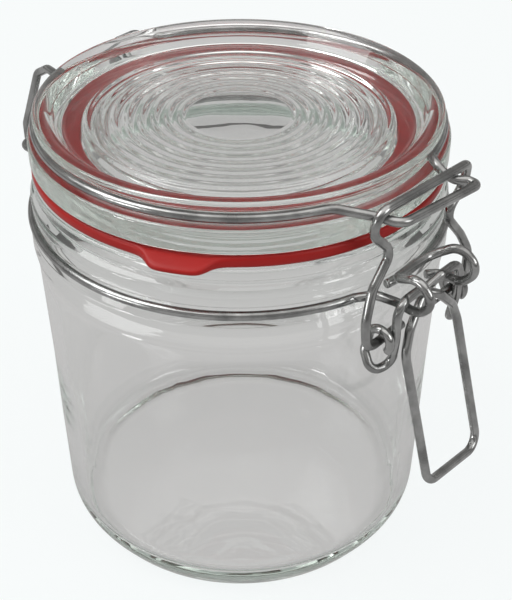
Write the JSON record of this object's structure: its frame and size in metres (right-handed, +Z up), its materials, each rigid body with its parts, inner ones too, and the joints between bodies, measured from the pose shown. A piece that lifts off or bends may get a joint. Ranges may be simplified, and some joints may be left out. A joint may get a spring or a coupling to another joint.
{
  "type": "clip top jar",
  "caption": "Wide clear glass storage jar with a glass lid on a rubber seal, hinged by bent wire at the back and clamped by a wire lever and link at the front.",
  "frame": {"origin": "centre of the flat underside, on the jar's axis", "axes": "+Z up along the jar's axis, +X towards the latch, -X towards the hinge, +Y along the hinge line"},
  "size_m": [0.1481, 0.1148, 0.1307],
  "materials": {
    "jar_glass": "clear, faint green tint in the thick parts",
    "lid_glass": "clear pressed glass with fine rings",
    "red_rubber": "smooth, slightly glossy",
    "wire_steel": "drawn wire, semi-bright"
  },
  "bodies": {
    "jar": {"glass_jar": "jar_glass", "neck_wire": "wire_steel"},
    "lid": {"glass_lid": "lid_glass", "seal": "red_rubber", "lid_wire": "wire_steel"},
    "lever": {"lever": "wire_steel"},
    "link": {"link": "wire_steel"}
  },
  "joints": [
    {"name": "lid_hinge", "type": "hinge", "parent": "jar", "child": "lid", "pos_m": [-0.067, 0, 0.1017], "axis": [0, -1, 0], "range_deg": [0, 100]},
    {"name": "lever_pivot", "type": "hinge", "parent": "jar", "child": "lever", "pos_m": [0.0635, 0, 0.102], "axis": [0, -1, 0], "range_deg": [0, 100]},
    {"name": "link_pivot", "type": "hinge", "parent": "lever", "child": "link", "pos_m": [0.0607, 0, 0.0916], "axis": [0, -1, 0], "range_deg": [-125, 0]}
  ],
  "couplings": [
    {"joint": "link_pivot", "follows": "lever_pivot", "ratio": -1.25}
  ]
}
